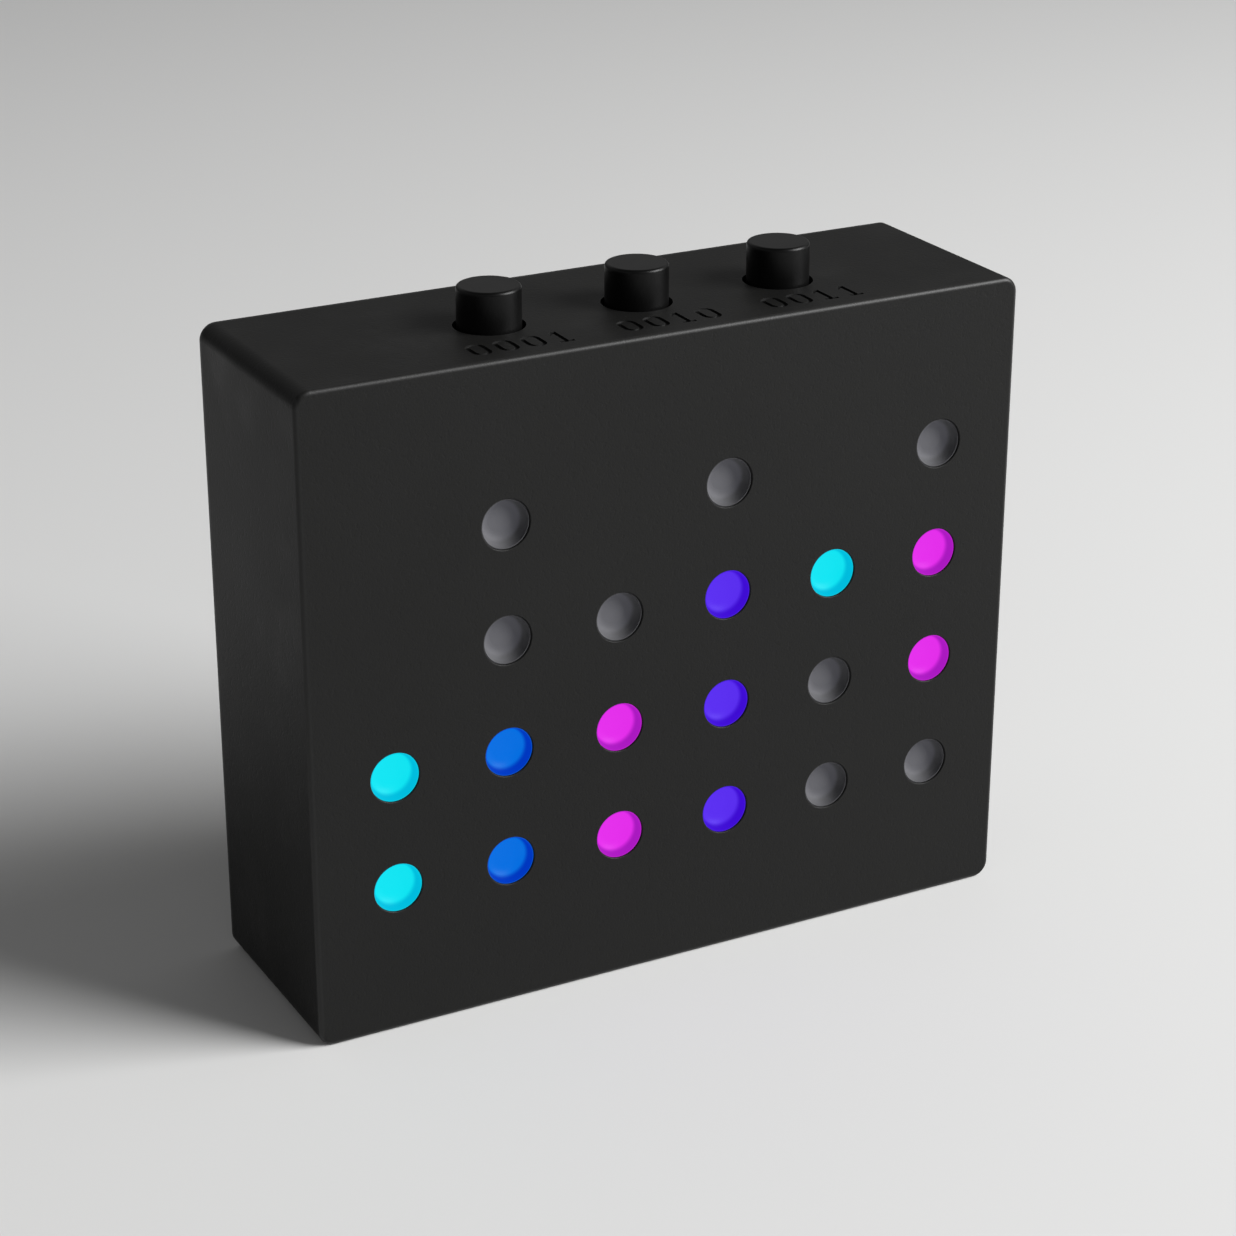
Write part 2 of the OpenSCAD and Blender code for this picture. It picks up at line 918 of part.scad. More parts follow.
// one ring of points round the wire, at a share t of the way along the coil
function coil_ring(t, sides) = [
    for (s = [0:sides - 1])
        let (
            turn = 360 * spring_turns * t,
            a = 360 * s / sides,
            r = spring_r + spring_wire_d / 2 * cos(a)
        )
        [r * cos(turn), r * sin(turn), spring_rise * t + spring_wire_d / 2 * sin(a)]
];

module return_spring(k) {
    rings = 8 * spring_turns;
    sides = 6;
    points = [for (i = [0:rings]) each coil_ring(i / rings, sides)];
    wall_faces = [for (i = [0:rings - 1]) for (s = [0:sides - 1])
        let (a = i * sides + s, b = i * sides + (s + 1) % sides)
        each [[a, a + sides, b], [b, a + sides, b + sides]]];
    end_faces = [[for (s = [0:sides - 1]) s], [for (s = [sides - 1:-1:0]) rings * sides + s]];
    color([0.75, 0.76, 0.78])
        at_button(k)
            translate([0, 0, spring_low])
                polyhedron(points, concat(wall_faces, end_faces));
}

// ---------- inlet ----------

module inlet_board() {
    color([0.05, 0.22, 0.12])
        shelf(inlet_board_z, board_t)
            translate([-inlet_board_w / 2, inlet_board_front])
                square([inlet_board_w, inlet_board_l]);
}

module shell_outline(shrink) {
    translate([0, inlet_mid_z])
        rounded_rect(shell_w - 2 * shrink, shell_h - 2 * shrink, shell_r - shrink);
}

module inlet_shell() {
    color([0.78, 0.78, 0.8])
        difference() {
            slab(mouth_at - shell_l, shell_l)
                shell_outline(0);
            slab(mouth_at - shell_l + shell_t, shell_l)
                shell_outline(shell_t);
        }
}

module inlet_tongue() {
    color([0.1, 0.1, 0.1])
        slab(mouth_at - shell_l + shell_t, tongue_l)
            translate([0, inlet_mid_z])
                square([tongue_w, tongue_t], center = true);
}

module inlet_capacitor() {
    can_r = 3.15;
    can_h = 7.7;
    base_side = 6.6;
    base_h = 0.8;
    spot = [rail_bite + part_inset + can_r - inlet_board_w / 2, inlet_board_front + part_inset + can_r];
    color([0.72, 0.72, 0.75]) {
        shelf(inlet_z, base_h)
            translate(spot)
                square(base_side, center = true);
        shelf(inlet_z, can_h)
            translate(spot)
                circle(can_r);
    }
}

module regulator() {
    body = [3.5, 6.5, 1.7];
    tab = [1.5, 3, 0.3];
    bite = 0.1;
    spot = [power_link_x - power_link_w / 2 - part_gap - body[0] / 2,
        inlet_board_front + part_inset + body[1] / 2];
    color([0.09, 0.09, 0.09]) {
        shelf(inlet_z, body[2])
            translate(spot)
                square([body[0], body[1]], center = true);
        shelf(inlet_z, tab[2])
            translate([spot[0] - body[0] / 2 - tab[0] / 2 + bite, spot[1]])
                square([tab[0], tab[1]], center = true);
    }
}

// ---------- links between the boards ----------

module link_sockets() {
    color([0.9, 0.9, 0.85]) {
        slab(board_back, socket_h) {
            translate([switch_link_x, switch_link_z])
                square([switch_link_w, socket_l], center = true);
            translate([power_link_x, power_link_z])
                square([power_link_w, socket_l], center = true);
        }
        shelf(switch_board_z - socket_h, socket_h)
            translate([switch_link_x, ribbon_at])
                square([switch_link_w, socket_l], center = true);
        shelf(inlet_z, socket_h)
            translate([power_link_x, ribbon_at])
                square([power_link_w, socket_l], center = true);
    }
}

// a flat ribbon that leaves a socket on the lamp board and bends up through a quarter turn
module ribbon(width, rise) {
    out = ribbon_run + ribbon_bend_r;
    rotate([90, 0, 90])
        translate([0, 0, -width / 2])
            linear_extrude(width) {
                translate([0, -ribbon_t / 2])
                    square([ribbon_run, ribbon_t]);
                translate([ribbon_run, ribbon_bend_r])
                    intersection() {
                        difference() {
                            circle(ribbon_bend_r + ribbon_t / 2);
                            circle(ribbon_bend_r - ribbon_t / 2);
                        }
                        translate([0, -2 * ribbon_bend_r])
                            square(2 * ribbon_bend_r);
                    }
                translate([out - ribbon_t / 2, ribbon_bend_r])
                    square([ribbon_t, rise - ribbon_bend_r]);
            }
}

module switch_ribbon() {
    color([0.55, 0.55, 0.57])
        translate([switch_link_x, front_y + board_back + socket_h, switch_link_z])
            ribbon(switch_link_w - 2 * ribbon_margin, switch_board_z - socket_h - switch_link_z);
}

module power_ribbon() {
    color([0.6, 0.12, 0.1])
        translate([power_link_x, front_y + board_back + socket_h, power_link_z])
            mirror([0, 0, 1])
                ribbon(power_link_w - 2 * ribbon_margin, power_link_z - inlet_z - socket_h);
}

housing();
rear_cover();
cover_screws();
threaded_inserts();
lens_column(0);  // hour_tens_lenses
lens_column(1);  // hour_units_lenses
lens_column(2);  // minute_tens_lenses
lens_column(3);  // minute_units_lenses
lens_column(4);  // second_tens_lenses
lens_column(5);  // second_units_lenses
diffuser_sheet();
light_cups();
lamp_board();
lamps();
lamp_capacitors();
board_screws();
controller_chip();
clock_chip();
chip_leads();
crystal();
cell_holder();
coin_cell();
cell_clip();
switch_board();
switch_pins();
switch_base(0);  // hour_switch_base
switch_base(1);  // minute_switch_base
switch_base(2);  // mode_switch_base
switch_lid(0);  // hour_switch_lid
switch_lid(1);  // minute_switch_lid
switch_lid(2);  // mode_switch_lid
plunger(0);  // hour_plunger
plunger(1);  // minute_plunger
plunger(2);  // mode_plunger
return_spring(0);  // hour_spring
return_spring(1);  // minute_spring
return_spring(2);  // mode_spring
push_button(0);  // hour_button
push_button(1);  // minute_button
push_button(2);  // mode_button
inlet_board();
inlet_shell();
inlet_tongue();
inlet_capacitor();
regulator();
link_sockets();
switch_ribbon();
power_ribbon();
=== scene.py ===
"""A box-shaped binary clock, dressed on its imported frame: a moulded black case with numbered push
buttons, dished lenses lit from behind, and the boards, cups and switches inside. Metres throughout."""
import json
import math

import bmesh
import bpy
from mathutils import Matrix, Vector

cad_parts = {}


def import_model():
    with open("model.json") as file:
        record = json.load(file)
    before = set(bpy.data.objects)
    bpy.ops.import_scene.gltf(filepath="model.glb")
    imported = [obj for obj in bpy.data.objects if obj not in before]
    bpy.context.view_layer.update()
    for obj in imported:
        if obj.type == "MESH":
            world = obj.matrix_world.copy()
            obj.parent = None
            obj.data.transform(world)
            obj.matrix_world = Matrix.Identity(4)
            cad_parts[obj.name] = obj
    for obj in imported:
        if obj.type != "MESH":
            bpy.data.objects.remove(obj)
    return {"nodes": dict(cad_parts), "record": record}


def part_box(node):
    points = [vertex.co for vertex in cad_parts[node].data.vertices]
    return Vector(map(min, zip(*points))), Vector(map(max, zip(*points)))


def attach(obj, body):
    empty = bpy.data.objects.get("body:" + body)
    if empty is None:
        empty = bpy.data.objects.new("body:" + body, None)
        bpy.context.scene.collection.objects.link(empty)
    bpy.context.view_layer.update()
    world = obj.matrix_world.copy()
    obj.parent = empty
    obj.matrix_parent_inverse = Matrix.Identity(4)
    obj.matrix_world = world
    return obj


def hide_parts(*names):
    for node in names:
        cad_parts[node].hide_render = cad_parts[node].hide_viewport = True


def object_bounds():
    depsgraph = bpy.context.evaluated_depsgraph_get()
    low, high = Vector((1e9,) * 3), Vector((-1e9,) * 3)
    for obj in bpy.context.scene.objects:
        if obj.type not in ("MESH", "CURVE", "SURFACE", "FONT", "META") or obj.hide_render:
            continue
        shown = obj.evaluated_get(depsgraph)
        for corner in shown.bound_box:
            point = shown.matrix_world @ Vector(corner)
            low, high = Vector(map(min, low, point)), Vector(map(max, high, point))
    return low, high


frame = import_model()
cad_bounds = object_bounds()

MM = 0.001
NODES = frame["nodes"]
CASE = "case"

# ------------------------------------------------------------------ places read from the frame

case_low, case_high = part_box("housing")
front_y = case_low.y
top_z = case_high.z
BUTTON_NODES = ["hour_button", "minute_button", "mode_button"]
COLUMN_NODES = [
    "hour_tens_lenses", "hour_units_lenses", "minute_tens_lenses",
    "minute_units_lenses", "second_tens_lenses", "second_units_lenses",
]


def middle(node):
    """The middle of a node's box."""
    low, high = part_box(node)
    return (low + high) / 2


# ------------------------------------------------------------------ small helpers for node trees

class Graph:
    """Adds nodes to one tree. An input is given a value, or another node's output to link to."""

    def __init__(self, tree):
        self.tree = tree

    def add(self, kind, inputs=None, **settings):
        node = self.tree.nodes.new(kind)
        for name, value in settings.items():
            setattr(node, name, value)
        for name, value in (inputs or {}).items():
            self.feed(node.inputs[name], value)
        return node

    def feed(self, socket, value):
        if isinstance(value, bpy.types.NodeSocket):
            self.tree.links.new(value, socket)
        else:
            socket.default_value = value

    def math(self, operation, a, b=0.0, c=0.0, clamp=False):
        node = self.add("ShaderNodeMath", {0: a, 1: b, 2: c}, operation=operation, use_clamp=clamp)
        return node.outputs[0]

    def vector(self, operation, a, b=(0.0, 0.0, 0.0)):
        node = self.add("ShaderNodeVectorMath", {0: a, 1: b}, operation=operation)
        return node.outputs["Value" if operation == "DOT_PRODUCT" else "Vector"]

    def split(self, vector):
        return self.add("ShaderNodeSeparateXYZ", {0: vector}).outputs

    def mix(self, amount, a, b, blend="MIX"):
        node = self.add("ShaderNodeMix", data_type="RGBA", blend_type=blend)
        for index, value in ((0, amount), (6, a), (7, b)):
            self.feed(node.inputs[index], value)
        return node.outputs[2]

    def blend(self, amount, a, b):
        node = self.add("ShaderNodeMix", {0: amount, 2: a, 3: b}, data_type="FLOAT")
        return node.outputs[0]

    def smooth(self, value, low, high, out_low=0.0, out_high=1.0):
        """A smooth step from out_low to out_high as value goes from low to high."""
        inputs = {"Value": value, "From Min": low, "From Max": high, "To Min": out_low, "To Max": out_high}
        return self.add("ShaderNodeMapRange", inputs, interpolation_type="SMOOTHSTEP").outputs[0]

    def noise(self, vector, scale, detail=2.0, roughness=0.5):
        inputs = {"Vector": vector, "Scale": scale, "Detail": detail, "Roughness": roughness}
        return self.add("ShaderNodeTexNoise", inputs).outputs[0]

    def group(self, shared, **inputs):
        node = self.add("ShaderNodeGroup", node_tree=shared)
        for name, value in inputs.items():
            self.feed(node.inputs[name.replace("_", " ")], value)
        return node.outputs


def shared_group(name, inputs, outputs, build):
    """A shader node group. inputs and outputs are {name: default}, and build returns {name: output}."""
    tree = bpy.data.node_groups.new(name, "ShaderNodeTree")
    kinds = {float: "NodeSocketFloat", tuple: "NodeSocketVector"}
    for direction, sockets in (("INPUT", inputs), ("OUTPUT", outputs)):
        for label, default in sockets.items():
            kind = kinds[type(default)]
            socket = tree.interface.new_socket(name=label, in_out=direction, socket_type=kind)
            socket.default_value = default
    graph = Graph(tree)
    entry = graph.add("NodeGroupInput").outputs
    leave = graph.add("NodeGroupOutput")
    for label, value in build(graph, entry).items():
        graph.feed(leave.inputs[label], value)
    return tree


# ------------------------------------------------------------------ effects that materials share

def build_grain(graph, given):
    """Fine spark-eroded mould grain over slow waves where the plastic flowed."""
    place = graph.add("ShaderNodeTexCoord").outputs["Object"]
    per_cell = graph.math("DIVIDE", 1.0, given["Cell"])
    fine = graph.noise(place, per_cell, 3.0, 0.6)
    pits = graph.smooth(graph.noise(place, graph.math("MULTIPLY", per_cell, 0.45), 1.0), 0.58, 0.7)
    slow = graph.noise(place, given["Flow"], 2.0, 0.55)
    height = graph.math("SUBTRACT", fine, graph.math("MULTIPLY", pits, 0.35))
    return {"Height": height, "Cloud": slow}


GRAIN = shared_group(
    "moulded_grain", {"Cell": 0.4 * MM, "Flow": 30.0}, {"Height": 0.0, "Cloud": 0.0}, build_grain)


def build_edges(graph, given):
    """Masks of the edges that hands and cloths rub, broken up by noise."""
    bevel = graph.add("ShaderNodeBevel", {"Radius": given["Radius"]}, samples=6).outputs[0]
    flat = graph.add("ShaderNodeNewGeometry").outputs["Normal"]
    turned = graph.math("SUBTRACT", 1.0, graph.vector("DOT_PRODUCT", bevel, flat))
    place = graph.add("ShaderNodeTexCoord").outputs["Object"]
    rough = graph.noise(place, 900.0, 4.0, 0.7)
    edge = graph.smooth(turned, 0.0, 0.12)
    worn = graph.math("MULTIPLY", edge, graph.smooth(rough, given["Ragged"], 0.72))
    return {"Edge": edge, "Worn": worn}


EDGES = shared_group(
    "rubbed_edges", {"Radius": 0.4 * MM, "Ragged": 0.4}, {"Edge": 0.0, "Worn": 0.0}, build_edges)


def build_box_edges(graph, given):
    """A mask of the case's long outer edges: where at least two sides of its box lie close by."""
    place = graph.split(graph.add("ShaderNodeTexCoord").outputs["Object"])
    full = graph.math("MULTIPLY", given["Reach"], 0.55)
    near = []
    for axis, low, high in zip("XYZ", case_low, case_high):
        from_low = graph.math("SUBTRACT", place[axis], low)
        from_high = graph.math("SUBTRACT", high, place[axis])
        depth = graph.math("MINIMUM", from_low, from_high)
        near.append(graph.smooth(depth, full, given["Reach"], 1.0, 0.0))
    two = graph.math("ADD", near[0], near[1])
    return {"Edge": graph.math("ADD", two, graph.math("SUBTRACT", near[2], 1.0), clamp=True)}


BOX_EDGES = shared_group("case_edges", {"Reach": 0.9 * MM}, {"Edge": 0.0}, build_box_edges)


def build_handling(graph, given):
    """Smears from fingers, and dust that settles on faces that look up."""
    geometry = graph.add("ShaderNodeNewGeometry").outputs
    place = graph.add("ShaderNodeTexCoord").outputs["Object"]
    patch = graph.noise(place, graph.math("MULTIPLY", given["Smear Scale"], 0.6), 2.0, 0.6)
    streak = graph.noise(place, given["Smear Scale"], 5.0, 0.7)
    smear = graph.math("MULTIPLY", graph.smooth(patch, 0.45, 0.68), graph.smooth(streak, 0.35, 0.7))
    up = graph.smooth(graph.split(geometry["Normal"])["Z"], 0.6, 0.98)
    motes = graph.smooth(graph.noise(place, 2300.0, 2.0, 0.8), 0.66, 0.74)
    film = graph.smooth(graph.noise(place, 70.0, 4.0, 0.6), 0.3, 0.8)
    fallen = graph.math("ADD", motes, graph.math("MULTIPLY", film, 0.25), clamp=True)
    return {"Smear": smear, "Dust": graph.math("MULTIPLY", up, fallen)}


HANDLING = shared_group("handling", {"Smear Scale": 60.0}, {"Smear": 0.0, "Dust": 0.0}, build_handling)


def build_streaks(graph, given):
    """Long fine scratches that run along one direction, as rolling or brushing leaves them."""
    place = graph.add("ShaderNodeTexCoord").outputs["Object"]
    stretched = graph.vector("MULTIPLY", place, given["Across"])
    lines = graph.noise(stretched, 1.0, 3.0, 0.65)
    blotch = graph.noise(place, 180.0, 3.0, 0.6)
    return {"Lines": lines, "Blotch": blotch}


STREAKS = shared_group(
    "rolled_streaks", {"Across": (900.0, 9000.0, 9000.0)}, {"Lines": 0.0, "Blotch": 0.0}, build_streaks)


# ------------------------------------------------------------------ materials

def fresh_material(name):
    """A new material with its Principled shader, as (material, graph, shader)."""
    material = bpy.data.materials.new(name)
    material.use_nodes = True
    tree = material.node_tree
    tree.nodes.clear()
    graph = Graph(tree)
    shader = graph.add("ShaderNodeBsdfPrincipled")
    out = graph.add("ShaderNodeOutputMaterial")
    tree.links.new(shader.outputs[0], out.inputs[0])
    return material, graph, shader


def grey(value):
    return (value, value, value, 1.0)


def scaled(colour, amount):
    """A colour made this much lighter or darker, with its alpha."""
    return (*(channel * amount for channel in colour), 1.0)


def finish_surface(graph, shader, colour, shine, height, depth):
    """Feeds the shader its colour, its roughness and a bump of this depth."""
    bump = graph.add("ShaderNodeBump", {"Height": height, "Distance": depth, "Strength": 1.0})
    for socket, value in (("Base Color", colour), ("Roughness", shine), ("Normal", bump.outputs[0])):
        graph.feed(shader.inputs[socket], value)


DUST_COLOUR = (0.42, 0.40, 0.37, 1.0)


def moulded_plastic(
        name, colour, rough, cell=0.4 * MM, grain=0.02 * MM, wear=0.15, dust=0.0, sheen=0.5):
    """Moulded plastic: grain in the surface, clouded colour, rubbed edges, smears and dust."""
    material, graph, shader = fresh_material(name)
    surface = graph.group(GRAIN, Cell=cell, Flow=28.0)
    edges = graph.group(EDGES, Radius=0.5 * MM)
    hands = graph.group(HANDLING)
    low, high = scaled(colour, 0.88), scaled(colour, 1.12)
    base = graph.mix(surface["Cloud"], low, high)
    base = graph.mix(graph.math("MULTIPLY", surface["Height"], 0.35), base, low)
    lighter = (*(min(1.0, channel * 1.3 + 0.05) for channel in colour), 1.0)
    base = graph.mix(graph.math("MULTIPLY", edges["Worn"], wear), base, lighter)
    base = graph.mix(graph.math("MULTIPLY", hands["Dust"], dust), base, DUST_COLOUR)
    shine = graph.math("MULTIPLY_ADD", surface["Cloud"], 0.1, rough - 0.05)
    shine = graph.math("MULTIPLY_ADD", hands["Smear"], -0.1, shine)
    shine = graph.math("MULTIPLY_ADD", edges["Edge"], -0.06, shine, clamp=True)
    finish_surface(graph, shader, base, shine, surface["Height"], grain)
    shader.inputs["Specular IOR Level"].default_value = sheen
    return material


def polish_case_edges(material, coat=0.34, coat_rough=0.42):
    """Rubs a moulded plastic to a soft shine along the outer edges of the case."""
    graph = Graph(material.node_tree)
    shader = next(node for node in graph.tree.nodes if node.type == "BSDF_PRINCIPLED")
    edges = graph.group(BOX_EDGES)
    graph.feed(shader.inputs["Coat Weight"], graph.math("MULTIPLY", edges["Edge"], coat))
    shader.inputs["Coat Roughness"].default_value = coat_rough


def metal(name, colour, rough, across=(900.0, 9000.0, 9000.0), tarnish=0.25, depth=0.004 * MM):
    """Rolled, turned or plated metal: fine streaks, blotches of tarnish and brighter edges."""
    material, graph, shader = fresh_material(name)
    streaks = graph.group(STREAKS, Across=across)
    edges = graph.group(EDGES, Radius=0.2 * MM)
    stain = graph.math("MULTIPLY", graph.smooth(streaks["Blotch"], 0.42, 0.7), tarnish)
    base = graph.mix(stain, scaled(colour, 1.0), scaled(colour, 0.55))
    base = graph.mix(graph.math("MULTIPLY", edges["Worn"], 0.4), base, grey(0.92))
    shine = graph.math("MULTIPLY_ADD", streaks["Lines"], 0.25, rough - 0.12)
    shine = graph.math("MULTIPLY_ADD", stain, 0.3, shine, clamp=True)
    finish_surface(graph, shader, base, shine, streaks["Lines"], depth)
    shader.inputs["Metallic"].default_value = 1.0
    return material


TRACK_PITCH = 2.54 * MM


def circuit_board(name):
    """Green lacquer over glass weave, with tracks that show as raised, paler lines."""
    material, graph, shader = fresh_material(name)
    place = graph.add("ShaderNodeTexCoord").outputs["Object"]
    surface = graph.group(GRAIN, Cell=0.6 * MM, Flow=60.0)
    cells = graph.vector("DIVIDE", place, (TRACK_PITCH,) * 3)
    x, y, z = (graph.math("PINGPONG", graph.split(cells)[axis], 0.5) for axis in "XYZ")
    choose = graph.smooth(graph.noise(graph.vector("FLOOR", cells), 0.37, 0.0), 0.46, 0.5)
    line = graph.blend(choose, x, graph.math("MINIMUM", y, z))
    track = graph.smooth(line, 0.1, 0.14, 1.0, 0.0)
    weave = graph.add("ShaderNodeTexWave", {"Vector": place, "Scale": 700.0, "Distortion": 0.6}).outputs[1]
    base = graph.mix(surface["Cloud"], (0.006, 0.075, 0.028, 1.0), (0.010, 0.11, 0.042, 1.0))
    base = graph.mix(graph.math("MULTIPLY", weave, 0.12), base, (0.02, 0.16, 0.06, 1.0))
    base = graph.mix(graph.math("MULTIPLY", track, 0.55), base, (0.03, 0.26, 0.09, 1.0))
    height = graph.math("MULTIPLY_ADD", track, 0.8, graph.math("MULTIPLY", surface["Height"], 0.2))
    shine = graph.math("MULTIPLY_ADD", surface["Cloud"], 0.15, 0.22)
    finish_surface(graph, shader, base, shine, height, 0.03 * MM)
    return material


MATERIALS = {
    "case_plastic": moulded_plastic(
        "case_plastic", (0.0078, 0.0078, 0.0075), 0.5, grain=0.03 * MM, dust=0.03, sheen=0.17),
    "button_plastic": moulded_plastic(
        "button_plastic", (0.003,) * 3, 0.33, cell=0.3 * MM, grain=0.01 * MM, dust=0.03, sheen=0.18),
    # the numerals' cut faces: rougher than the case, as a cut face is, and a shade darker as painted shade
    # in the grooves
    "cut_plastic": moulded_plastic(
        "cut_plastic", (0.007,) * 3, 0.7, cell=0.2 * MM, wear=0.0, dust=0.05, sheen=0.15),
    "black_steel": metal("black_steel", (0.05, 0.05, 0.053), 0.42),
    "gold": metal("gold", (0.83, 0.58, 0.2), 0.22, across=(9000.0, 900.0, 9000.0), tarnish=0.1),
    "brass": metal("brass", (0.62, 0.40, 0.13), 0.3, across=(9000.0, 900.0, 9000.0)),
    "opal_plastic": moulded_plastic("opal_plastic", (0.82, 0.82, 0.79), 0.4, grain=0.006 * MM),
    "white_plastic": moulded_plastic("white_plastic", (0.84, 0.84, 0.83), 0.42, grain=0.012 * MM),
    "circuit_board": circuit_board("circuit_board"),
    "lamp_white": moulded_plastic("lamp_white", (0.88, 0.88, 0.84), 0.35, grain=0.005 * MM),
    "ceramic_chip": moulded_plastic(
        "ceramic_chip", (0.46, 0.32, 0.19), 0.5, cell=0.12 * MM, grain=0.008 * MM),
    "steel": metal("steel", (0.58, 0.58, 0.6), 0.28),
    "tin": metal("tin", (0.66, 0.66, 0.64), 0.35, across=(3000.0, 3000.0, 3000.0)),
    "chip_black": moulded_plastic("chip_black", (0.02, 0.02, 0.021), 0.6, cell=0.2 * MM),
    "switch_black": moulded_plastic("switch_black", (0.016, 0.016, 0.017), 0.45, cell=0.3 * MM),
    "plunger_plastic": moulded_plastic("plunger_plastic", (0.7, 0.7, 0.66), 0.38, cell=0.3 * MM),
    "aluminium_can": metal("aluminium_can", (0.72, 0.72, 0.74), 0.32, across=(9000.0, 9000.0, 700.0)),
    "grey_ribbon": moulded_plastic("grey_ribbon", (0.27, 0.27, 0.29), 0.5, cell=0.5 * MM),
    "red_ribbon": moulded_plastic("red_ribbon", (0.38, 0.012, 0.009), 0.5, cell=0.5 * MM),
}
polish_case_edges(MATERIALS["case_plastic"])

# ------------------------------------------------------------------ numerals cut into the case

NUMERAL = {
    "Digits": 4,
    "Digit Height": 5.5 * MM,
    "Digit Width": 3.3 * MM,
    "Pitch": 4.7 * MM,
    "Stroke": 0.75 * MM,
    "Depth": 0.35 * MM,
}
# from the front face back to the middle of the numerals
NUMERAL_BEHIND_FRONT = 6.05 * MM
# how far the blocks that cut them stand above the face
CUT_ABOVE = 0.2 * MM
# a zero's corners take almost half its width, in this many points each
ZERO_CORNER = 0.499
ZERO_CORNER_POINTS = 10
# a one's foot and flag reach out by this share of its width
ONE_REACH = 0.38
# the flag's tip is this share of a one's height below its top
FLAG_DROP = 0.17
# the flag's underside meets the stem this many strokes below the top
FLAG_ROOT = 1.2
# points nearer than this are merged
SAME_POINT = 0.001 * MM
# edges sharper than this stay sharp
SHARP_ANGLE = math.radians(30.0)
# a face is square to an axis when its normal lies along the axis by this much
SQUARE_TO_AXIS = 0.99999


def geometry_tree(name, inputs):
    """A geometry node tree with named inputs, as (tree, graph, the inputs' outputs, output socket)."""
    tree = bpy.data.node_groups.new(name, "GeometryNodeTree")
    kinds = {int: "NodeSocketInt", float: "NodeSocketFloat", bpy.types.Material: "NodeSocketMaterial"}
    for label, kind in inputs.items():
        tree.interface.new_socket(name=label, in_out="INPUT", socket_type=kinds[kind])
    tree.interface.new_socket(name="Geometry", in_out="OUTPUT", socket_type="NodeSocketGeometry")
    graph = Graph(tree)
    given = graph.add("NodeGroupInput").outputs
    leave = graph.add("NodeGroupOutput").inputs[0]
    return tree, graph, given, leave


def grow(tree, values, name):
    """The plain mesh that a geometry tree gives with these values of its named inputs."""
    holder = bpy.data.objects.new(name, bpy.data.meshes.new(name))
    bpy.context.scene.collection.objects.link(holder)
    growth = holder.modifiers.new("growth", "NODES")
    growth.node_group = tree
    for socket in tree.interface.items_tree:
        if socket.in_out == "INPUT" and socket.name in values:
            growth[socket.identifier] = values[socket.name]
    seen = holder.evaluated_get(bpy.context.evaluated_depsgraph_get())
    mesh = bpy.data.meshes.new_from_object(seen)
    bpy.data.objects.remove(holder)
    return mesh


def joined(graph, *shapes):
    """The shapes as one geometry, in this order: a join lists its newest link first."""
    join = graph.add("GeometryNodeJoinGeometry")
    for shape in reversed(shapes):
        graph.tree.links.new(shape, join.inputs[0])
    return join.outputs[0]


def row_of_points(graph, count, pitch):
    """Points along X with the origin in their middle, and the number of the last one."""
    last = graph.math("SUBTRACT", count, 1.0)
    first_x = graph.math("MULTIPLY", graph.math("MULTIPLY", last, pitch), -0.5)
    start = graph.add("ShaderNodeCombineXYZ", {0: first_x}).outputs[0]
    step = graph.add("ShaderNodeCombineXYZ", {0: pitch}).outputs[0]
    line = graph.add("GeometryNodeMeshLine", {"Count": count, "Start Location": start, "Offset": step})
    return line.outputs[0], last


def rounded_loop(graph, width, height):
    """A closed upright loop whose ends are half circles."""
    corner = graph.math("MULTIPLY", width, ZERO_CORNER)
    loop = graph.add("GeometryNodeCurvePrimitiveQuadrilateral", {"Width": width, "Height": height})
    fillet = graph.add("GeometryNodeFilletCurve", {
        "Curve": loop.outputs[0], "Radius": corner, "Count": ZERO_CORNER_POINTS}, mode="POLY")
    return fillet.outputs[0]


def outline(graph, points):
    """A closed loop through points given as (x, y) pairs of outputs."""
    choose = graph.add("GeometryNodeIndexSwitch", data_type="VECTOR")
    while len(choose.index_switch_items) < len(points):
        choose.index_switch_items.new()
    graph.feed(choose.inputs[0], graph.add("GeometryNodeInputIndex").outputs[0])
    for number, (x, y) in enumerate(points, start=1):
        graph.feed(choose.inputs[number], graph.add("ShaderNodeCombineXYZ", {0: x, 1: y}).outputs[0])
    line = graph.add("GeometryNodeMeshLine", {"Count": len(points)}).outputs[0]
    bent = graph.add("GeometryNodeSetPosition", {"Geometry": line, "Position": choose.outputs[0]})
    curve = graph.add("GeometryNodeMeshToCurve", {"Mesh": bent.outputs[0]}).outputs[0]
    return graph.add("GeometryNodeSetSplineCyclic", {"Geometry": curve, "Cyclic": True}).outputs[0]


def block(graph, loops, thick):
    """A closed block whose outline is the loops, half its thickness above and half below them."""
    face = graph.add("GeometryNodeFillCurve", {"Curve": loops}).outputs[0]
    rise = graph.add("ShaderNodeCombineXYZ", {2: thick}).outputs[0]
    walls = graph.add("GeometryNodeExtrudeMesh", {"Mesh": face, "Offset": rise, "Individual": False})
    under = graph.add("GeometryNodeFlipFaces", {"Mesh": face})
    shell = joined(graph, walls.outputs[0], under.outputs[0])
    closed = graph.add("GeometryNodeMergeByDistance", {"Geometry": shell, "Distance": SAME_POINT})
    drop = graph.add("ShaderNodeCombineXYZ", {2: graph.math("MULTIPLY", thick, -0.5)}).outputs[0]
    placed = graph.add("GeometryNodeTransform", {"Geometry": closed.outputs[0], "Translation": drop})
    return placed.outputs[0]


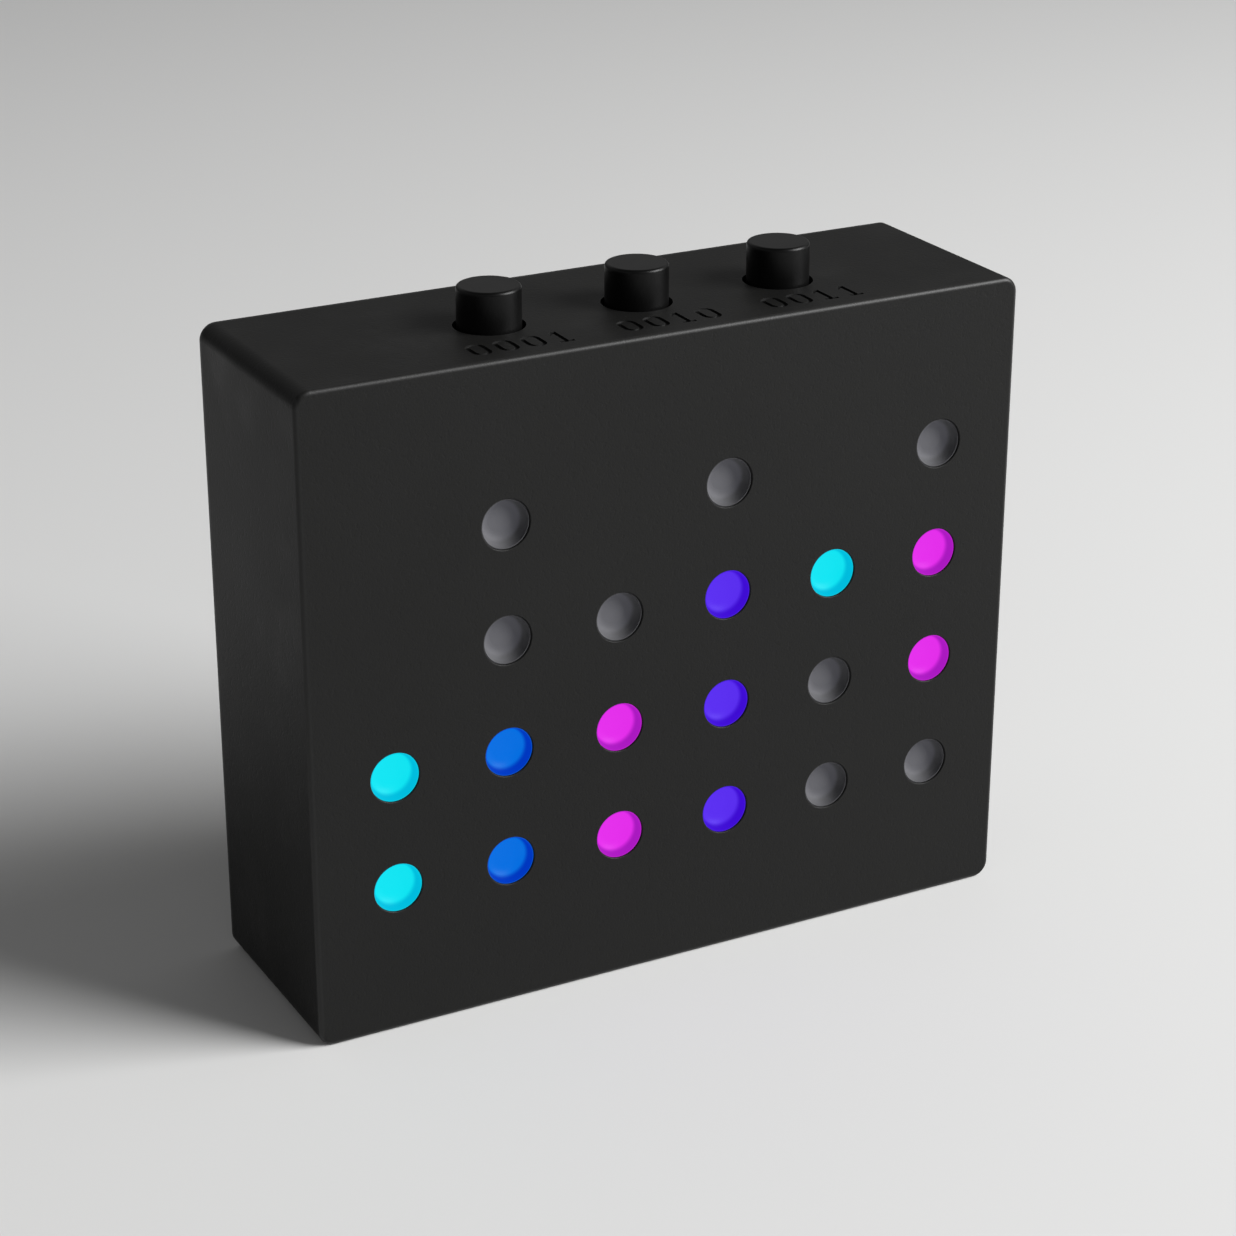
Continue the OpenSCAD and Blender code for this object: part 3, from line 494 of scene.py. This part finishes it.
def numeral_tree():
    """A number's binary digits as closed blocks that cut it into a face, along X with its foot at -Y."""
    tree, graph, given, leave = geometry_tree("numeral_cutter", {
        "Value": int, "Digits": int, "Digit Height": float, "Digit Width": float,
        "Pitch": float, "Stroke": float, "Depth": float, "Above": float, "Material": bpy.types.Material})
    width, height, stroke = given["Digit Width"], given["Digit Height"], given["Stroke"]
    thick = graph.math("ADD", given["Depth"], given["Above"])

    outer = rounded_loop(graph, width, height)
    inner = rounded_loop(graph, graph.math("MULTIPLY_ADD", stroke, -2.0, width),
                         graph.math("MULTIPLY_ADD", stroke, -2.0, height))
    zero = block(graph, joined(graph, outer, inner), thick)

    top = graph.math("MULTIPLY", height, 0.5)
    foot = graph.math("MULTIPLY", height, -0.5)
    foot_top = graph.math("ADD", foot, stroke)
    right = graph.math("MULTIPLY", stroke, 0.5)
    left = graph.math("MULTIPLY", stroke, -0.5)
    foot_right = graph.math("MULTIPLY", width, ONE_REACH)
    foot_left = graph.math("MULTIPLY", width, -ONE_REACH)
    flag_top = graph.math("MULTIPLY_ADD", height, -FLAG_DROP, top)
    flag_low = graph.math("SUBTRACT", flag_top, stroke)
    flag_root = graph.math("MULTIPLY_ADD", stroke, -FLAG_ROOT, top)
    one = block(graph, outline(graph, [
        (foot_left, foot), (foot_right, foot), (foot_right, foot_top), (right, foot_top), (right, top),
        (left, top), (foot_left, flag_top), (foot_left, flag_low), (left, flag_root),
        (left, foot_top), (foot_left, foot_top)]), thick)

    # its newest link comes first, so the zero is instance 0
    digits = graph.add("GeometryNodeGeometryToInstance")
    for shape in (one, zero):
        graph.tree.links.new(shape, digits.inputs[0])
    line, last = row_of_points(graph, given["Digits"], given["Pitch"])
    index = graph.add("GeometryNodeInputIndex").outputs[0]
    power = graph.math("POWER", 2.0, graph.math("SUBTRACT", last, index))
    bit = graph.math("MODULO", graph.math("FLOOR", graph.math("DIVIDE", given["Value"], power)), 2.0)
    row = graph.add("GeometryNodeInstanceOnPoints", {
        "Points": line, "Instance": digits.outputs[0], "Pick Instance": True, "Instance Index": bit})
    solid = graph.add("GeometryNodeRealizeInstances", {0: row.outputs[0]}).outputs[0]
    # the row's blocks are centred, so this brings their tops to the stated height above the face
    lift = graph.math("SUBTRACT", given["Above"], graph.math("MULTIPLY", thick, 0.5))
    lifted = graph.add("ShaderNodeCombineXYZ", {2: lift}).outputs[0]
    placed = graph.add("GeometryNodeTransform", {"Geometry": solid, "Translation": lifted}).outputs[0]
    finish = graph.add("GeometryNodeSetMaterial", {"Geometry": placed, "Material": given["Material"]})
    graph.feed(leave, finish.outputs[0])
    return tree


def case_moulding():
    """The case with a number cut into its top in front of each button, counting up from one."""
    tree = numeral_tree()
    cutter = bpy.data.meshes.new("numerals")
    blocks = bmesh.new()
    for number, node in enumerate(BUTTON_NODES, start=1):
        values = {**NUMERAL, "Value": number, "Above": CUT_ABOVE, "Material": MATERIALS["cut_plastic"]}
        mesh = grow(tree, values, "numeral")
        mesh.transform(Matrix.Translation((middle(node).x, front_y + NUMERAL_BEHIND_FRONT, top_z)))
        blocks.from_mesh(mesh)
        bpy.data.meshes.remove(mesh)
    blocks.to_mesh(cutter)
    blocks.free()
    cutter.materials.append(MATERIALS["cut_plastic"])
    tool = bpy.data.objects.new("numerals", cutter)

    shape = bmesh.new()
    shape.from_mesh(NODES["housing"].data)
    bmesh.ops.remove_doubles(shape, verts=shape.verts, dist=SAME_POINT)
    mesh = bpy.data.meshes.new("case_moulding")
    shape.to_mesh(mesh)
    shape.free()
    mesh.materials.append(MATERIALS["case_plastic"])
    case = bpy.data.objects.new("case_moulding", mesh)
    for obj in (tool, case):
        bpy.context.scene.collection.objects.link(obj)
    cut = case.modifiers.new("cut", "BOOLEAN")
    cut.operation = "DIFFERENCE"
    cut.solver = "EXACT"
    cut.material_mode = "TRANSFER"
    cut.object = tool
    case.data = settled(case)
    case.data.set_sharp_from_angle(angle=SHARP_ANGLE)
    for face in case.data.polygons:
        face.use_smooth = True
    even = case.modifiers.new("even", "WEIGHTED_NORMAL")
    even.keep_sharp = True
    case.data = settled(case)
    flatten_corners(case.data)
    bpy.data.objects.remove(tool)
    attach(case, CASE)
    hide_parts("housing")


def flatten_corners(mesh):
    """Gives each face that lies square to an axis its own plain normal, so that it shades dead flat."""
    normals = [corner.vector.copy() for corner in mesh.corner_normals]
    for face in mesh.polygons:
        if max(abs(part) for part in face.normal) > SQUARE_TO_AXIS:
            for corner in face.loop_indices:
                normals[corner] = face.normal.copy()
    mesh.normals_split_custom_set(normals)


def settled(obj):
    """The mesh that an object's modifiers give, with the modifiers taken off."""
    seen = obj.evaluated_get(bpy.context.evaluated_depsgraph_get())
    mesh = bpy.data.meshes.new_from_object(seen)
    obj.modifiers.clear()
    return mesh


# ------------------------------------------------------------------ contacts on the inlet's tongue

CONTACT = {"Count": 12, "Pitch": 0.5 * MM, "Width": 0.27 * MM, "Length": 4.6 * MM, "Rise": 0.03 * MM}
CONTACT_BEHIND_TIP = 0.35 * MM


def contact_tree():
    """A row of flat contact strips side by side along X, each with its length along Y."""
    tree, graph, given, leave = geometry_tree("contact_strips", {
        "Count": int, "Pitch": float, "Width": float, "Length": float, "Rise": float,
        "Material": bpy.types.Material})
    line, _ = row_of_points(graph, given["Count"], given["Pitch"])
    bar = graph.add("GeometryNodeCurvePrimitiveQuadrilateral", {
        "Width": given["Width"], "Height": given["Length"]}).outputs[0]
    strip = block(graph, bar, graph.math("MULTIPLY", given["Rise"], 2.0))
    row = graph.add("GeometryNodeInstanceOnPoints", {"Points": line, "Instance": strip})
    solid = graph.add("GeometryNodeRealizeInstances", {0: row.outputs[0]}).outputs[0]
    finish = graph.add("GeometryNodeSetMaterial", {"Geometry": solid, "Material": given["Material"]})
    graph.feed(leave, finish.outputs[0])
    return tree


def tongue_contacts():
    """Gold strips let into the upper and lower faces of the inlet's tongue, standing a hair proud."""
    low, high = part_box("inlet_tongue")
    row = grow(contact_tree(), {**CONTACT, "Material": MATERIALS["gold"]}, "contacts")
    centre_y = high.y - CONTACT_BEHIND_TIP - CONTACT["Length"] / 2
    strips = bmesh.new()
    for face_z in (low.z, high.z):
        layer = row.copy()
        layer.transform(Matrix.Translation((middle("inlet_tongue").x, centre_y, face_z)))
        strips.from_mesh(layer)
        bpy.data.meshes.remove(layer)
    strips.to_mesh(row)
    strips.free()
    contacts = bpy.data.objects.new("tongue_contacts", row)
    bpy.context.scene.collection.objects.link(contacts)
    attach(contacts, CASE)


# ------------------------------------------------------------------ lenses lit from behind

# a full column of lenses: its box is one flange wide and ends at its outer flanges
lens_low, lens_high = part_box("hour_units_lenses")
FULL_COLUMN = 4
flange_d = lens_high.x - lens_low.x
first_row_z = lens_low.z + flange_d / 2
row_pitch = (lens_high.z - lens_low.z - flange_d) / (FULL_COLUMN - 1)
# a lens's flange and rim, and the radius between the floor and the wall of its hollow
LENS_FLANGE = 1.0 * MM
LENS_RIM = 0.15 * MM
LENS_COVE = 2.0 * MM
RIM_BLUR = 0.03 * MM
mouth_r = flange_d / 2 - LENS_FLANGE - LENS_RIM

# the light of a lit lens, on the floor of its hollow and up its wall
CYAN = ((0.005, 0.87, 0.99), (0.0, 0.56, 0.8))
BLUE = ((0.001, 0.178, 0.84), (0.0, 0.042, 0.58))
MAGENTA = ((0.87, 0.03, 0.93), (0.44, 0.011, 0.58))
VIOLET = ((0.115, 0.03, 0.97), (0.055, 0.004, 0.72))
# a faint painted glow on the floors of the unlit lenses, lifting the shade cast into their hollows
PAINTED_UNLIT_GLOW = (0.027, 0.027, 0.034, 1.0)
SMOKE = ((0.09, 0.09, 0.096, 1.0), (0.115, 0.115, 0.122, 1.0))
# each column's colour, with its first and last lit rows, counted from 0 at the bottom
LIT = [(CYAN, 0, 1), (BLUE, 0, 1), (MAGENTA, 0, 1), (VIOLET, 0, 2), (CYAN, 2, 2), (MAGENTA, 1, 2)]


def build_dish(graph, given):
    """How far a point of a lens lies from the lens's own axis, and whether its row is lit."""
    place = graph.split(graph.add("ShaderNodeTexCoord").outputs["Object"])
    across = graph.math("SUBTRACT", place["X"], given["Column X"])
    rows = graph.math("DIVIDE", graph.math("SUBTRACT", place["Z"], first_row_z), row_pitch)
    row = graph.math("ROUND", rows)
    along = graph.math("MULTIPLY", graph.math("SUBTRACT", rows, row), row_pitch)
    along_square = graph.math("MULTIPLY", along, along)
    square = graph.math("MULTIPLY_ADD", across, across, along_square)
    above = graph.math("GREATER_THAN", row, graph.math("SUBTRACT", given["First Row"], 0.5))
    below = graph.math("LESS_THAN", row, graph.math("ADD", given["Last Row"], 0.5))
    return {"Radius": graph.math("SQRT", square), "Lit": graph.math("MULTIPLY", above, below)}


DISH = shared_group(
    "lens_dish", {"Column X": 0.0, "First Row": 0.0, "Last Row": 0.0}, {"Radius": 0.0, "Lit": 0.0},
    build_dish)


def up_cove(share):
    """The distance from a lens's axis of a point this share of the way out over its cove."""
    return mouth_r - (1.0 - share) * LENS_COVE


def lens_material(node, colours, first, last):
    """Smoked plastic that glows in the lit rows: even over the floor of the hollow, deeper up its cove."""
    material, graph, shader = fresh_material(node.replace("lenses", "lens"))
    dish = graph.group(DISH, Column_X=middle(node).x, First_Row=float(first), Last_Row=float(last))
    surface = graph.group(GRAIN, Cell=0.3 * MM, Flow=90.0)
    glow, wall = [(*colour, 1.0) for colour in colours]
    steep = graph.smooth(dish["Radius"], up_cove(0.6), up_cove(0.9))
    # painted light at the lens's rim: the lit glow comes back up there as a painted highlight, and the
    # smoked plastic turns almost black there as a painted shade ring between lens and case
    rim_shade_and_highlight = graph.smooth(dish["Radius"], mouth_r - RIM_BLUR, mouth_r + RIM_BLUR)
    light = graph.mix(steep, glow, wall)
    light = graph.mix(graph.math("MULTIPLY", rim_shade_and_highlight, 0.5), light, glow)
    smoked = graph.mix(surface["Cloud"], *SMOKE)
    smoked = graph.mix(graph.math("MULTIPLY", rim_shade_and_highlight, 0.6), smoked, grey(0.01))
    # in the lit rows the base colour is the smoked plastic darkened and tinted with the glow, painted to
    # go with the glow rather than being the plastic's own colour
    painted_glow_tint = graph.mix(1.0, graph.mix(0.7, smoked, grey(0.0)), glow, blend="MULTIPLY")
    # the painted glow of the unlit lenses is strongest over the middle of the floor and fades up the cove
    inner = graph.smooth(dish["Radius"], up_cove(0.5), up_cove(0.8), 1.0, 0.0)
    painted_unlit_glow = graph.mix(inner, grey(0.0), PAINTED_UNLIT_GLOW)
    graph.feed(shader.inputs["Emission Color"], graph.mix(dish["Lit"], painted_unlit_glow, light))
    base = graph.mix(dish["Lit"], smoked, painted_glow_tint)
    shine = graph.math("MULTIPLY_ADD", surface["Cloud"], 0.12, 0.42)
    finish_surface(graph, shader, base, shine, surface["Height"], 0.006 * MM)
    shader.inputs["Emission Strength"].default_value = 0.87
    shader.inputs["Specular IOR Level"].default_value = 0.06
    return material


def paint_nodes():
    """Gives each carried node its finish, from its material slot in the record."""
    slots = {part["node"]: part["material_slot"] for part in frame["record"]["subparts"]}
    for name, obj in NODES.items():
        if name in COLUMN_NODES:
            colours, first, last = LIT[COLUMN_NODES.index(name)]
            finish = lens_material(name, colours, first, last)
        else:
            finish = MATERIALS[slots[name]]
        obj.data.materials.clear()
        obj.data.materials.append(finish)


paint_nodes()
case_moulding()
tongue_contacts()

# ------------------------------------------------------------------ studio and camera

CAMERA_PLACE = Vector((-223.8, -420.3, 255.8)) * MM
# degrees
CAMERA_TURN = 28.02
CAMERA_DOWN = 22.83
# the camera's own millimetres
CAMERA_LENS = 89.56
CAMERA_SENSOR = 36.0
NEAREST_SEEN = 10.0 * MM
FLOOR_REACH = 12.0
FLOOR_COLOUR = (0.74, 0.74, 0.735, 1.0)
# the world's bands: how high up the sky, from 0 to 1, each runs into the next
WALL_BLEND = (0.05, 0.4)
OVERHEAD_BLEND = (0.5, 0.9)


def floor():
    """A plain pale floor, matt enough to mirror nothing."""
    mesh = bpy.data.meshes.new("floor")
    corners = [(x * FLOOR_REACH, y * FLOOR_REACH, 0) for x, y in ((-1, -1), (1, -1), (1, 1), (-1, 1))]
    mesh.from_pydata(corners, [], [(0, 1, 2, 3)])
    material, _, shader = fresh_material("floor_pale")
    shader.inputs["Base Color"].default_value = FLOOR_COLOUR
    shader.inputs["Roughness"].default_value = 0.6
    shader.inputs["Specular IOR Level"].default_value = 0.05
    mesh.materials.append(material)
    obj = bpy.data.objects.new("floor", mesh)
    bpy.context.scene.collection.objects.link(obj)


def soft_box(name, place, side, beam, power):
    """A square soft light aimed at the object. Past its beam, in degrees, it gives no light."""
    data = bpy.data.lights.new(name, "AREA")
    data.size = side
    data.spread = math.radians(beam)
    data.energy = power
    obj = bpy.data.objects.new(name, data)
    obj.location = place
    aim = (cad_bounds[0] + cad_bounds[1]) / 2
    obj.rotation_euler = (Vector(place) - aim).to_track_quat("Z", "Y").to_euler()
    bpy.context.scene.collection.objects.link(obj)


def world(horizon, wall, overhead):
    """Even light all round, in three bands by height that run smoothly into each other."""
    sky = bpy.data.worlds.new("studio")
    bpy.context.scene.world = sky
    sky.use_nodes = True
    tree = sky.node_tree
    tree.nodes.clear()
    graph = Graph(tree)
    height = graph.split(graph.add("ShaderNodeTexCoord").outputs["Generated"])["Z"]
    rise = graph.smooth(height, *WALL_BLEND, horizon, wall)
    strength = graph.math("ADD", rise, graph.smooth(height, *OVERHEAD_BLEND, 0.0, overhead - wall))
    light = graph.add("ShaderNodeBackground", {"Color": grey(1.0), "Strength": strength})
    tree.links.new(light.outputs[0], graph.add("ShaderNodeOutputWorld").inputs[0])


def camera():
    """The photograph's view of the clock."""
    data = bpy.data.cameras.new("camera")
    data.sensor_width = CAMERA_SENSOR
    data.lens = CAMERA_LENS
    data.clip_start = NEAREST_SEEN
    obj = bpy.data.objects.new("camera", data)
    obj.location = CAMERA_PLACE
    obj.rotation_euler = (math.radians(90.0 - CAMERA_DOWN), 0.0, math.radians(-CAMERA_TURN))
    bpy.context.scene.collection.objects.link(obj)
    bpy.context.scene.camera = obj


floor()
world(horizon=0.03, wall=0.33, overhead=0.03)
soft_box("key", place=(1.27, -0.96, 0.99), side=1.2, beam=130.0, power=33.0)
camera()
bpy.context.scene.view_settings.view_transform = "Standard"
